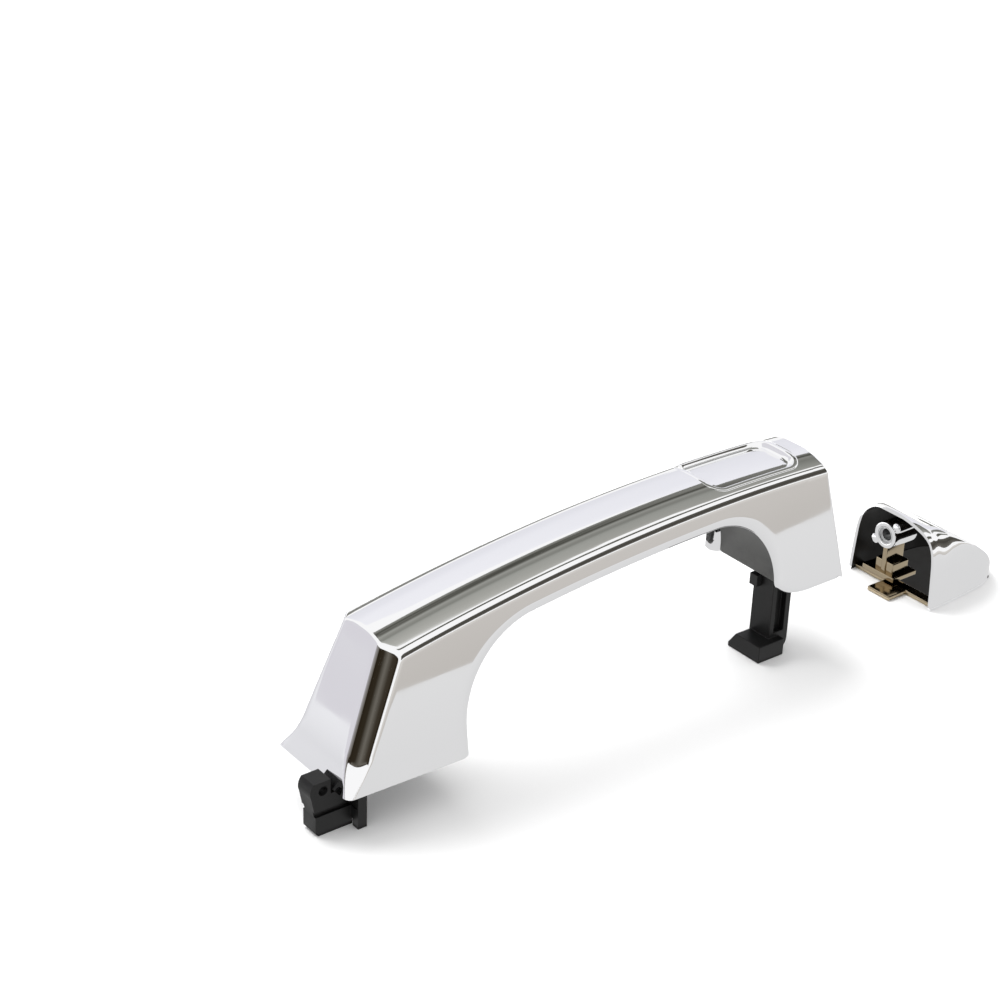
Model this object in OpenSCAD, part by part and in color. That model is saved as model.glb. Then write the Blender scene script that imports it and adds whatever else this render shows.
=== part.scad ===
// Chromed strap door handle with its pivot hook, pull leg and separate end cap.
// Frame: X runs from the pivot to the rear end, Z points out from the door, Y goes across.
// The origin is the middle of the pivot bore in the hook.  All sizes are in millimetres.

/* [Strap shell] */
// Distance from the front toe of the shell to the lowest point of its rear end
strap_length = 197.3; // [190:0.1:208]
// Height of the top edge line above the pivot at its highest point
edge_height = 52.4; // [50:0.1:60]
// Distance of that highest point from the pivot
peak_distance = 157.9; // [140:0.1:166]
// Radius of the long arch of the top edge line
edge_radius = 672; // [600:4:900]
// Width of the shell across its two top edge lines
edge_width = 29; // [27:0.5:34]
// Widening of each side toward the door, in degrees
side_draft = 6.5; // [5:0.1:7]
// Width of the flat along the middle of the crown
crown_width = 12; // [11.5:0.5:14]
// Height of the crown above the edge lines
crown_rise = 3.4; // [2:0.1:3.8]
// Wall thickness of the shell
shell_wall = 2.4; // [2:0.1:2.8]
// Lean of the front face, in degrees from upright
front_lean = 22.3; // [18:0.1:25]
// Lean of the rear end face, in degrees from upright
rear_lean = 11.6; // [8:0.1:14]
// Width of the slanted band at each front corner
band_width = 5; // [3.5:0.5:6]
// Run of a corner band along the handle for each millimetre across
band_run = 0.75; // [0.45:0.05:0.85]

/* [Grip arch] */
// Height of the side wall at the grip
grip_depth = 9.5; // [8.5:0.1:12]
// Distance of the front edge of the arch from the pivot
arch_front = 45.4; // [43:0.1:50]
// Distance of the rear edge of the arch from the pivot
arch_rear = 167.6; // [162:0.1:169]
// Corner radius of the arch at the front
arch_front_radius = 29; // [24:0.5:32]
// Corner radius of the arch at the rear
arch_rear_radius = 25; // [21:0.5:28]
// Thickness of the liner on the finger side
liner_thickness = 2.2; // [1.8:0.1:2.6]
// Depth at which the liner sits inside the rim of the shell
liner_inset = 0.8; // [0.4:0.1:1.2]
// Depth at which the liner sits behind the rim at the rear of the arch
liner_rear_inset = 4.5; // [3:0.1:5]

/* [Finger recess] */
// Length of the recess in the crown
recess_length = 36; // [28:0.5:38]
// Width of the recess in the crown
recess_width = 20; // [18:0.5:21]
// Depth of the recess below the crown
recess_depth = 2; // [1.2:0.1:2.4]
// Corner radius of the recess
recess_radius = 4.5; // [4.2:0.1:5]
// Distance from the recess to the lowest point of the rear end
recess_back = 17.2; // [16.6:0.1:24]

/* [Seats] */
// Height of the underside of the front foot above the pivot
front_seat = -0.4; // [-0.6:0.1:0.4]
// Height of the underside of the rear foot above the pivot
rear_seat = 11.2; // [9:0.1:12.5]
// Height of the pivot above the table the handle stands on
pivot_height = 14.8; // [14:0.1:18]
// Distance of the middle of the strap to one side of the line of hook and leg
strap_side = 7.2; // [5.5:0.1:7.6]
// Thickness of the front gasket
gasket_thickness = 1; // [0.8:0.1:1.2]

/* [Pivot hook] */
// Radius of the pivot bore
pivot_bore_radius = 1.5; // [1.2:0.05:1.6]
// Width of the hook block across the pivot
hook_width = 6.5; // [6:0.1:7]
// Reach of the hook nose in front of the pivot
hook_nose = 4.3; // [4:0.1:4.6]
// Distance from the pivot to the back of the hook block
hook_back = 9.8; // [9.4:0.1:10.4]
// Height of the top of the hook above the pivot
hook_top = 3; // [2.6:0.1:3.4]
// Thickness of the cross flange behind the hook block
flange_thickness = 2.6; // [2:0.1:3]
// Width of the cross flange
flange_width = 14; // [12:0.5:15]

/* [Pull leg] */
// Size of the leg column along the handle
leg_depth = 8.6; // [7.5:0.1:9]
// Distance of the middle of the leg to one side of the pivot line
leg_side = 2; // [0:0.1:2.4]
// Width of the leg column
leg_width = 9.2; // [8:0.1:11]
// Width of the leg foot
leg_foot_width = 14.6; // [13:0.2:16]
// Reach of the leg foot in front of the column
leg_foot_reach = 6.6; // [4.5:0.1:7]
// Height of the leg foot
leg_foot_height = 6; // [5:0.1:8]

/* [Fastening] */
// Thickness of the base plates of hook and leg
plate_thickness = 3; // [2.6:0.1:4]
// Radius of the fixing screws
screw_radius = 1.45; // [1.3:0.05:1.5]
// Length of the fixing screws under the head
screw_length = 12; // [9:0.5:14]
// Radius of the screw heads
screw_head_radius = 2.8; // [2.6:0.1:3.2]
// Height of the screw heads
screw_head_height = 1.4; // [1.2:0.1:1.6]
// Radius of the screw bosses inside the shell
boss_radius = 3.6; // [3.2:0.1:4]
// Clearance around pieces that sit inside each other
seat_gap = 0.3; // [0.2:0.05:0.4]
// Radial fit of a screw or insert in its bore
press_gap = 0.05; // [0.02:0.01:0.1]

/* [End cap] */
// Distance from the rear end of the strap to the rim of the cap as it lies
cap_distance = 44; // [14:0.5:60]
// Sideways position of the cap from the middle of the strap
cap_side = -1.5; // [-10:0.5:10]
// Width of the cap at its base
cap_width = 40; // [36:0.5:44]
// Height of the cap at its rim
cap_height = 30.2; // [28:0.1:34]
// Length of the cap along its base
cap_length = 42.5; // [38:0.5:50]
// Width of the cap at its far end
cap_tail_width = 26; // [23:0.5:30]
// How long the roof stays level behind the rim
cap_roof_power = 1.2; // [1.1:0.1:1.8]
// How steeply the roof falls to the tail
cap_roof_fall = 0.8; // [0.5:0.05:1]
// Wall thickness of the cap
cap_wall = 2; // [1.6:0.1:2.4]
// Radius of the screw boss in the cap
cap_boss_radius = 5; // [4.8:0.1:5.6]
// Radius of the screw hole in the cap insert
cap_screw_radius = 2.2; // [1.8:0.05:2.5]
// Sideways position of the boss from the middle of the cap
cap_boss_side = 5.4; // [2:0.2:6]
// Height of the boss above the base of the cap
cap_boss_height = 18.6; // [16:0.1:19]

/* [View] */
// Which piece to draw

/* [Hidden] */
edge_half = edge_width / 2;
crown_half = crown_width / 2;
arc_x = peak_distance;
arc_z = edge_height - edge_radius;
crown_radius = edge_radius + crown_rise;
under_radius = edge_radius - grip_depth;
inner_radius = edge_radius - 80;
floor_z = -pivot_height;
plate_top = front_seat + plate_thickness;
rear_plate_low = rear_seat + 6.4;
rear_plate_top = rear_plate_low + plate_thickness;
liner_outer = liner_inset + liner_thickness;
leg_front = arch_rear + liner_rear_inset + liner_thickness + seat_gap;
recess_end = strap_length - recess_back;
recess_start = recess_end - recess_length;
toe_x = 3;
plate_front = toe_x + 5;
plate_back = arch_front - liner_outer - seat_gap;
rear_plate_back = strap_length - 5.8;
front_screw_a = hook_back + flange_thickness + screw_head_radius + 2;
front_screw_b = plate_back - screw_head_radius - 2.4;
rear_screw_x = rear_plate_back - boss_radius - 0.6;
rear_screw_y = 7;
cap_x = strap_length + cap_distance;
cap_tail = cap_x + cap_length;
insert_radius = cap_boss_radius - 1.8;
far = 600;

// Half width of the strap section at a point of the side view.
function half_at(x, z) =
    edge_half + tan(side_draft) * (edge_radius - sqrt(pow(x - arc_x, 2) + pow(z - arc_z, 2)));

// Height of the middle of an arch corner so that it runs into the underside arc.
function corner_z(cx, r) = arc_z + sqrt(pow(under_radius - r, 2) - pow(cx - arc_x, 2));

// Half width of the front face at its foot, between the two corner bands.
function front_half() = half_at(toe_x, front_seat) - band_width;

// Extrudes a side view shape across the handle.
module across(width) {
    rotate([90, 0, 0])
        translate([0, 0, -width / 2])
            linear_extrude(width)
                children();
}

// Moves a strap piece from the middle plane of the strap to the pivot frame.
module on_strap() {
    translate([0, strap_side, 0])
        children();
}

// Strap section swept along the long arc, taken in by a wall allowance.
module swept_section(inset) {
    low_half = edge_half + tan(side_draft) * (edge_radius - inner_radius) - inset;
    translate([arc_x, 0, arc_z])
        rotate([90, 0, 0])
            rotate([0, 0, 80])
                rotate_extrude(angle = 26, $fn = 540)
                    polygon([
                        [crown_radius - inset, -crown_half],
                        [crown_radius - inset, crown_half],
                        [edge_radius - inset, edge_half - inset],
                        [inner_radius, low_half],
                        [inner_radius, -low_half],
                        [edge_radius - inset, inset - edge_half]
                    ]);
}

// Side view limits of the strap: front face, rear face and the two feet.
module side_limits() {
    polygon([
        [toe_x, front_seat],
        [toe_x + 80 * tan(front_lean), front_seat + 80],
        [strap_length - 90 * tan(rear_lean), rear_seat + 90],
        [strap_length, rear_seat],
        [strap_length - 15, rear_seat],
        [arch_rear + 7.3, rear_seat + 1.8],
        [arch_rear + 2.5, rear_seat + 4],
        [arch_rear, rear_seat + 7],
        [arch_rear - 8, rear_seat + 7],
        [arch_front + 8, front_seat]
    ]);
}

// Side view limits of the hollow inside the strap.
module hollow_limits() {
    front_step = shell_wall / cos(front_lean);
    rear_step = shell_wall / cos(rear_lean);
    polygon([
        [toe_x + front_step - 40 * tan(front_lean), front_seat - 40],
        [toe_x + front_step + 80 * tan(front_lean), front_seat + 80],
        [strap_length - rear_step - 90 * tan(rear_lean), rear_seat + 90],
        [strap_length - rear_step + 40 * tan(rear_lean), rear_seat - 40]
    ]);
}

// Everything behind the front face and its two slanted corner bands.
module front_bands(inset) {
    translate([toe_x, 0, front_seat])
        intersection() {
            rotate([0, front_lean, 0])
                translate([inset, -far / 2, -far / 2])
                    cube(far);
            band_space(1, inset);
            band_space(-1, inset);
        }
}

module band_space(side, inset) {
    translate([0, side * front_half(), 0])
        rotate([side * side_draft, 0, 0])
            rotate([0, front_lean, 0])
                rotate([0, 0, -side * atan(band_run)])
                    translate([inset, -far / 2, -far / 2])
                        cube(far);
}

// Points of an arc from one angle to another.
function arc_points(cx, cz, r, a0, a1, steps) =
    [for (i = [0:steps]) let (a = a0 + (a1 - a0) * i / steps) [cx + r * cos(a), cz + r * sin(a)]];

// Side view of the arch, grown by one allowance in general and another at its rear end.
module arch_opening(grow, grow_rear) {
    front_r = arch_front_radius + grow;
    rear_r = arch_rear_radius + grow_rear;
    front_x = arch_front + arch_front_radius;
    rear_x = arch_rear - arch_rear_radius;
    front_z = corner_z(front_x, arch_front_radius);
    rear_z = corner_z(rear_x, arch_rear_radius + grow_rear - grow);
    front_turn = atan2(front_z - arc_z, front_x - arc_x);
    rear_turn = atan2(rear_z - arc_z, rear_x - arc_x);
    polygon(concat(
        [[arch_front - grow, -60]],
        arc_points(front_x, front_z, front_r, 180, front_turn, 16),
        arc_points(arc_x, arc_z, under_radius + grow, front_turn - 0.1, rear_turn + 0.1, 24),
        arc_points(rear_x, rear_z, rear_r, rear_turn, 0, 16),
        [[arch_rear + grow_rear, -60]]
    ));
}

module strap_solid() {
    intersection() {
        swept_section(0);
        across(80)
            side_limits();
        front_bands(0);
    }
}

module strap_hollow() {
    intersection() {
        swept_section(shell_wall);
        across(80)
            hollow_limits();
        front_bands(shell_wall);
    }
}

// Rounded outline of the recess, grown by an allowance.
module recess_outline(grow) {
    r = recess_radius;
    half = recess_width / 2 + grow;
    x0 = recess_start - grow;
    x1 = recess_end + grow;
    translate([x0 + r, -half])
        square([x1 - x0 - 2 * r, 2 * half]);
    translate([x0, r - half])
        square([x1 - x0, 2 * half - 2 * r]);
    for (cx = [x0 + r, x1 - r])
        for (cy = [r - half, half - r])
            translate([cx, cy])
                circle(r = r, $fn = 48);
}

module recess_prism(grow) {
    translate([0, 0, 20])
        linear_extrude(80)
            recess_outline(grow);
}

// Everything inside the arc that lies the given depth below the crown.
module below_crown(depth) {
    across(80)
        translate([arc_x, arc_z])
            circle(r = crown_radius - depth, $fn = 540);
}

module front_boss_spots() {
    for (x = [front_screw_a, front_screw_b])
        translate([x, 0, 0])
            children();
}

module rear_boss_spots() {
    for (y = [-rear_screw_y, rear_screw_y])
        translate([rear_screw_x, y, 0])
            children();
}

module boss_columns() {
    front_boss_spots()
        translate([0, 0, plate_top])
            cylinder(h = 60, r = boss_radius, $fn = 48);
    rear_boss_spots()
        translate([0, 0, rear_plate_top])
            cylinder(h = 60, r = boss_radius, $fn = 48);
}

module screw_bores() {
    bore = screw_radius + press_gap;
    front_boss_spots()
        translate([0, 0, plate_top - 1])
            cylinder(h = screw_length, r = bore, $fn = 32);
    rear_boss_spots()
        translate([0, 0, rear_plate_top - 1])
            cylinder(h = screw_length, r = bore, $fn = 32);
}

// Hollow inside the strap, less the recess floor and the screw bosses.
module strap_inside() {
    difference() {
        strap_hollow();
        difference() {
            recess_prism(shell_wall);
            below_crown(recess_depth + shell_wall);
        }
        boss_columns();
    }
}

// Chromed outer shell: crown, long facets, sides, front face, rear face and recess.
module outer_shell() {
    color([0.82, 0.83, 0.85])
        on_strap()
            difference() {
                strap_solid();
                strap_inside();
                across(80)
                    arch_opening(0, 0);
                difference() {
                    recess_prism(0);
                    below_crown(recess_depth);
                }
                screw_bores();
            }
}

// End view of the liner: its sides widen a little toward the feet.
module liner_end_view() {
    top_half = edge_half - shell_wall + tan(side_draft) * (grip_depth - liner_outer - shell_wall) - seat_gap;
    spread = 0.04 * 60;
    top = edge_height - 6;
    polygon([
        [-top_half, top],
        [top_half, top],
        [top_half + spread, top - 60],
        [-top_half - spread, top - 60]
    ]);
}

// Inner cover of the grip, between the two side walls of the shell.
module grip_liner() {
    color([0.23, 0.23, 0.23])
        on_strap()
            intersection() {
                across(80)
                    difference() {
                        arch_opening(liner_outer, liner_rear_inset + liner_thickness);
                        arch_opening(liner_inset, liner_rear_inset);
                        translate([-20, front_seat - 79])
                            square([120, 80]);
                        translate([arch_rear - 40, rear_seat - 78])
                            square([120, 80]);
                    }
                rotate([90, 0, 90])
                    linear_extrude(far)
                        liner_end_view();
            }
}

// Thin rubber frame between the front foot and the door skin.
module front_gasket() {
    x0 = toe_x + 0.8;
    x1 = arch_front - 0.6;
    corner = front_half();
    half = corner + band_width - 0.8;
    window = flange_width / 2 + 1;
    color([0.08, 0.08, 0.08])
        translate([0, 0, front_seat - gasket_thickness])
            linear_extrude(gasket_thickness)
                difference() {
                    translate([0, strap_side])
                        polygon([
                            [x0, -corner],
                            [x0 + (half - corner) * band_run, -half],
                            [x1, -half],
                            [x1, half],
                            [x0 + (half - corner) * band_run, half],
                            [x0, corner]
                        ]);
                    translate([plate_front - 0.6, -window])
                        square([plate_back - plate_front - 1, 2 * window + strap_side]);
                    translate([toe_x, -hook_width / 2 - 0.6])
                        square([plate_front - toe_x, hook_width + 1.2]);
                }
}

// Side view of the hook: round pivot head, web, lower bar and neck.
module hook_side() {
    head_back = toe_x - 0.4;
    under_foot = front_seat - gasket_thickness - 0.3;
    web_low = -6.4;
    bar_front = -2.6;
    intersection() {
        circle(r = hook_nose, $fn = 96);
        translate([-hook_nose, -hook_nose])
            square([hook_nose + head_back, hook_nose + hook_top]);
    }
    polygon([
        [0.2 - hook_nose, -1],
        [bar_front - 0.4, web_low],
        [bar_front, web_low - 2],
        [bar_front, floor_z + 1],
        [bar_front + 1, floor_z],
        [hook_back, floor_z],
        [hook_back, under_foot],
        [0.5, under_foot]
    ]);
    translate([plate_front, under_foot - 1])
        square([hook_back - plate_front, plate_top - under_foot + 1]);
}

// Black pivot hook with its base plate inside the front foot.
module pivot_hook() {
    plate_half = half_at(plate_front, plate_top) - shell_wall - seat_gap - 2.8;
    half = hook_width / 2;
    color([0.10, 0.10, 0.10])
        difference() {
            union() {
                across(hook_width)
                    hook_side();
                translate([hook_back - 0.5, -flange_width / 2, floor_z + 2.4])
                    cube([flange_thickness + 0.5, flange_width, plate_top - floor_z - 2.4]);
                for (side = [-1, 1])
                    translate([hook_back - 0.5, side * (flange_width / 2 - 1.4) - 1.4, floor_z])
                        cube([flange_thickness + 0.5, 2.8, 4]);
                on_strap()
                    translate([plate_front, -plate_half, front_seat])
                        cube([plate_back - plate_front, 2 * plate_half, plate_thickness]);
            }
            rotate([90, 0, 0])
                cylinder(h = hook_width + 2, r = pivot_bore_radius, center = true, $fn = 48);
            for (side = [-1, 1])
                translate([-hook_nose - 1, side * (half + 1.1) - 2, -8.3])
                    cube([hook_nose + hook_back + 0.8, 4, 1.9]);
            on_strap()
                front_boss_spots()
                    plate_bore(front_seat);
        }
}

// Clearance hole and head recess of one screw, cut up into a base plate.
module plate_bore(low) {
    translate([0, 0, low - 1])
        cylinder(h = plate_thickness + 2, r = screw_radius + seat_gap, $fn = 32);
    translate([0, 0, low - 1])
        cylinder(h = 1.1 + screw_head_height, r = screw_head_radius + seat_gap, $fn = 40);
}

// Side view of the leg column with its rounded heel.
module leg_side_view() {
    back = leg_front + leg_depth;
    heel = 4;
    translate([leg_front, floor_z + heel])
        square([leg_depth, rear_plate_top - floor_z - heel]);
    translate([leg_front, floor_z])
        square([leg_depth - heel, heel + 1]);
    translate([back - heel, floor_z + heel])
        circle(r = heel, $fn = 60);
}

// End view of the leg foot: one side is cut back toward its top.
module leg_foot_view() {
    half = leg_foot_width / 2;
    polygon([
        [-half, floor_z],
        [half, floor_z],
        [half, floor_z + 1.5],
        [half - 3.2, floor_z + leg_foot_height],
        [-half, floor_z + leg_foot_height]
    ]);
}

// Moves a leg piece from the pivot line to the line of the leg.
module on_leg() {
    translate([0, leg_side, 0])
        children();
}

// Black pull leg with its foot and its base plate inside the rear foot.
module pull_leg() {
    plate_half = half_at(leg_front, rear_plate_top) - shell_wall - seat_gap - 1.6;
    pocket_low = floor_z + leg_foot_height + 1.5;
    pocket_high = rear_seat - 1;
    color([0.11, 0.11, 0.11])
        difference() {
            union() {
                on_leg()
                    across(leg_width)
                        leg_side_view();
                on_leg()
                    translate([leg_front - leg_foot_reach, 0, 0])
                        rotate([90, 0, 90])
                            linear_extrude(leg_foot_reach + leg_depth - 4)
                                leg_foot_view();
                on_strap()
                    translate([leg_front, -plate_half, rear_plate_low])
                        cube([rear_plate_back - leg_front, 2 * plate_half, plate_thickness]);
            }
            on_leg()
                translate([leg_front + 2, -leg_width / 2 - 1, pocket_low])
                    cube([leg_depth - 4.2, 3.2, pocket_high - pocket_low]);
            on_strap()
                rear_boss_spots()
                    plate_bore(rear_plate_low);
        }
}

module one_screw(low) {
    translate([0, 0, low])
        difference() {
            union() {
                cylinder(h = screw_head_height, r = screw_head_radius, $fn = 40);
                cylinder(h = screw_length - 0.6, r = screw_radius, $fn = 32);
            }
            translate([-0.4, -1.8, -0.1])
                cube([0.8, 3.6, 0.9]);
            translate([-1.8, -0.4, -0.1])
                cube([3.6, 0.8, 0.9]);
        }
}

// The four screws that hold hook and leg in the shell.
module foot_screws() {
    color([0.45, 0.45, 0.47])
        on_strap() {
            front_boss_spots()
                one_screw(front_seat + 0.1);
            rear_boss_spots()
                one_screw(rear_plate_low + 0.1);
        }
}

// Small rubber bumper on the front of the leg, just below the liner edge.
module leg_bumper() {
    high = rear_seat + 1.4;
    color([0.05, 0.05, 0.05])
        on_leg()
            translate([leg_front - 2, leg_width / 2 - 3.4, high - 4])
                cube([2, 3.4, 4]);
}

// Side view of the cap: level at the rim, then a roof that falls in one curve to the tail.
module cap_side_view(inset) {
    length = cap_length - inset * 1.2;
    height = cap_height - inset;
    steps = 22;
    polygon(concat(
        [[cap_x, -1]],
        [for (i = [0:steps])
            let (t = sin(90 * i / steps))
            [cap_x + length * t, height * pow(1 - pow(t, cap_roof_power), cap_roof_fall)]],
        [[cap_x + length, -1]]
    ));
}

// Plan view of the cap: wide at the rim, drawn in and rounded at the tail.
module cap_plan(inset) {
    half = cap_width / 2 - inset;
    tail_half = cap_tail_width / 2 - inset;
    corner = 10 - inset;
    tail_x = cap_tail - inset;
    difference() {
        polygon([
            [cap_x - 5, -half],
            [cap_x + 3, -half],
            [cap_x + cap_length * 0.82, -half * 0.42 - tail_half * 0.58 - 0.6],
            [tail_x, -tail_half],
            [tail_x, tail_half],
            [cap_x + cap_length * 0.82, half * 0.42 + tail_half * 0.58 + 0.6],
            [cap_x + 3, half],
            [cap_x - 5, half]
        ]);
        for (side = [-1, 1])
            difference() {
                translate([tail_x - corner, side * (tail_half - corner / 2 + 2) - corner / 2 - 2])
                    square([corner + 1, corner + 4]);
                translate([tail_x - corner, side * (tail_half - corner)])
                    circle(r = corner, $fn = 96);
            }
    }
}

// End view of the cap: drafted sides, faceted shoulders and a low crown.
module cap_end_view(inset) {
    half = cap_width / 2 - inset;
    top = cap_height - inset;
    polygon([
        [-half, -1],
        [half, -1],
        [half - 0.4, top - 15.4],
        [half - 2, top - 6.8],
        [half - 5.9, top - 1.2],
        [half - 11.4, top],
        [-1, top - 0.6],
        [9.6 - half, top - 2.4],
        [2.4 - half, top - 5],
        [-half, top - 9.4]
    ]);
}

module cap_solid(inset, open) {
    intersection() {
        translate([0, 60, 0])
            rotate([90, 0, 0])
                linear_extrude(120)
                    cap_side_view(inset);
        translate([0, 0, -open])
            linear_extrude(cap_height + 2 * open)
                cap_plan(inset);
        translate([cap_x - open, 0, 0])
            rotate([90, 0, 90])
                linear_extrude(cap_length + 2 * open)
                    cap_end_view(inset);
        translate([cap_x - open, -60, -open])
            cube([cap_length + 2 * open, 120, cap_height + 2 * open]);
    }
}

// Moves a cap piece to where the cap lies.
module on_table() {
    translate([0, strap_side + cap_side, floor_z])
        children();
}

module cap_boss_spot(depth) {
    translate([cap_x + depth, cap_boss_side, cap_boss_height])
        rotate([0, 90, 0])
            children();
}

// Chromed end cap with screw boss, gusset, shelf and tongue.
module cap_shell() {
    color([0.80, 0.81, 0.83])
        on_table()
            difference() {
                union() {
                    difference() {
                        cap_solid(0, 0);
                        cap_hollow();
                    }
                    intersection() {
                        cap_solid(0, 0);
                        union() {
                            cap_boss_spot(1)
                                cylinder(h = 40, r = cap_boss_radius, $fn = 64);
                            for (side = [-1, 1])
                                cap_boss_spot(1)
                                    rotate([0, 0, 22])
                                        translate([0, side * cap_boss_radius, 0])
                                            cylinder(h = 6, r = 1.8, $fn = 32);
                            translate([cap_x + 2, cap_boss_side - 1, 2])
                                cube([24, 2, cap_boss_height - 4]);
                            translate([cap_x + 2.5, cap_boss_side - 4, 3.2])
                                cube([8, 8, 5]);
                            translate([cap_x + 1, cap_boss_side - 6, 2.2])
                                cube([12, 14.6, 1.8]);
                        }
                    }
                    translate([cap_x - 6.5, -6, 0])
                        cube([12, 10, 1.6]);
                    translate([cap_x + 2, -cap_width / 2 + 1, 0])
                        cube([4, cap_width - 2, 1.6]);
                }
                cap_boss_spot(0)
                    cylinder(h = 12, r = insert_radius + press_gap, $fn = 64);
                cap_boss_spot(0)
                    cylinder(h = 16, r = cap_screw_radius + 0.5, $fn = 48);
            }
}

module cap_hollow() {
    intersection() {
        cap_solid(cap_wall, 0);
        translate([cap_x - 1, -60, -5])
            cube([cap_length, 120, cap_height + 5]);
    }
    intersection() {
        translate([cap_x - 1, 0, 0])
            rotate([90, 0, 90])
                linear_extrude(3)
                    cap_end_view(cap_wall);
        translate([cap_x - 1, -60, -1])
            cube([3, 120, cap_height + 2]);
    }
}

// Screw insert pressed into the boss of the cap.
module cap_screw_insert() {
    color([0.75, 0.75, 0.76])
        on_table()
            cap_boss_spot(1.1)
                difference() {
                    cylinder(h = 10, r = insert_radius, $fn = 64);
                    translate([0, 0, -1])
                        cylinder(h = 12, r = cap_screw_radius, $fn = 48);
                    translate([0, 0, -0.1])
                        cylinder(h = 1.1, r = cap_screw_radius + 0.6, $fn = 48);
                }
}

outer_shell();
grip_liner();
front_gasket();
pivot_hook();
pull_leg();
foot_screws();
leg_bumper();
cap_shell();
cap_screw_insert();
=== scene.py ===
"""Car door strap handle with its end cap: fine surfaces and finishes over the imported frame."""
from __future__ import annotations

import sys
import logging
import math
from dataclasses import dataclass, field
from enum import Enum
from typing import Any, Callable, Sequence

import bmesh
import bpy
import numpy as np
from mathutils import Matrix


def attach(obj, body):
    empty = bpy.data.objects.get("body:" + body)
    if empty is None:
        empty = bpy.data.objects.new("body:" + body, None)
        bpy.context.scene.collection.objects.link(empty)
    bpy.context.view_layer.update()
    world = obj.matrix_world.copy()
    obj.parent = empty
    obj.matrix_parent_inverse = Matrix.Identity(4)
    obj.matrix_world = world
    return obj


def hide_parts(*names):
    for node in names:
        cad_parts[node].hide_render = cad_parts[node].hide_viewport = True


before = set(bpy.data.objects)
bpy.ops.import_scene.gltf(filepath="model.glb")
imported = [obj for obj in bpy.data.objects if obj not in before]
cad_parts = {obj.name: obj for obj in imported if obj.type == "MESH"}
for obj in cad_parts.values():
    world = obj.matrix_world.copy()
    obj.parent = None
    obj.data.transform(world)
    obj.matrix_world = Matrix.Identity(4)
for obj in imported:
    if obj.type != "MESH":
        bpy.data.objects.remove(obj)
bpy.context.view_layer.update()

MM = 0.001
Array = np.ndarray
HALVINGS = 34
log = logging.getLogger("handle")


class Body(Enum):
    """The moving bodies of the frame."""

    STRAP = "strap"
    CAP = "end_cap"


def linear(code: str) -> tuple[float, float, float, float]:
    """Turns an sRGB hex colour into a linear colour.

    Args:
        code: six hex digits.

    Returns:
        Red, green, blue and alpha in linear light.
    """
    parts = [int(code[i:i + 2], 16) / 255 for i in (0, 2, 4)]
    low = [c / 12.92 if c <= 0.04045 else ((c + 0.055) / 1.055) ** 2.4 for c in parts]
    return (low[0], low[1], low[2], 1.0)


def add_node(tree: Any, kind: str, settings: dict[str, Any] | None = None,
             inputs: dict[Any, Any] | None = None) -> Any:
    """Adds one node with its settings and its input values or links.

    Args:
        tree: the node tree.
        kind: the node's type name.
        settings: attributes of the node.
        inputs: socket name or index to a value, or to an output socket to link from.

    Returns:
        The new node.
    """
    node = tree.nodes.new(kind)
    for key, value in (settings or {}).items():
        setattr(node, key, value)
    for key, value in (inputs or {}).items():
        if isinstance(value, bpy.types.NodeSocket):
            tree.links.new(value, node.inputs[key])
        else:
            node.inputs[key].default_value = value
    return node


def start_material(name: str) -> tuple[Any, Any, Any]:
    """Starts an empty node material and returns it with its tree and its Object coordinates socket."""
    material = bpy.data.materials.new(name)
    material.use_nodes = True
    tree = material.node_tree
    tree.nodes.clear()
    place = add_node(tree, "ShaderNodeTexCoord")
    return material, tree, place.outputs["Object"]


def end_material(tree: Any, shader: Any) -> None:
    """Links the finished shader to the material output."""
    add_node(tree, "ShaderNodeOutputMaterial", None, {"Surface": shader.outputs[0]})


@dataclass(frozen=True)
class PlatedChrome:
    """Bright decorative chrome over moulded ABS/PC.

    A mirror with the faint long waviness of the moulding under it and a trace of wiping haze.
    """

    name: str
    colour: str = "f7f7f8"
    haze: float = 0.03
    wave_mm: float = 9.0
    haze_mm: float = 14.0

    def build(self) -> Any:
        """Builds the plated chrome.

        Returns:
            The material.
        """
        material, tree, place = start_material(self.name)
        wave = add_node(tree, "ShaderNodeTexNoise", None,
                        {"Vector": place, "Scale": 1000 / self.wave_mm, "Detail": 1.0})
        bump = add_node(tree, "ShaderNodeBump", None,
                        {"Strength": 0.012, "Distance": 0.0004, "Height": wave.outputs["Fac"]})
        smear = add_node(tree, "ShaderNodeTexNoise", None,
                         {"Vector": place, "Scale": 1000 / self.haze_mm, "Detail": 5.0, "Roughness": 0.6})
        rough = add_node(tree, "ShaderNodeMapRange", None,
                         {"Value": smear.outputs["Fac"], "From Min": 0.35, "From Max": 0.75,
                          "To Min": self.haze, "To Max": self.haze * 2.2})
        shader = add_node(tree, "ShaderNodeBsdfPrincipled", None,
                          {"Base Color": linear(self.colour), "Metallic": 1.0,
                           "Roughness": rough.outputs["Result"], "Normal": bump.outputs["Normal"]})
        end_material(tree, shader)
        return material


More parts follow.
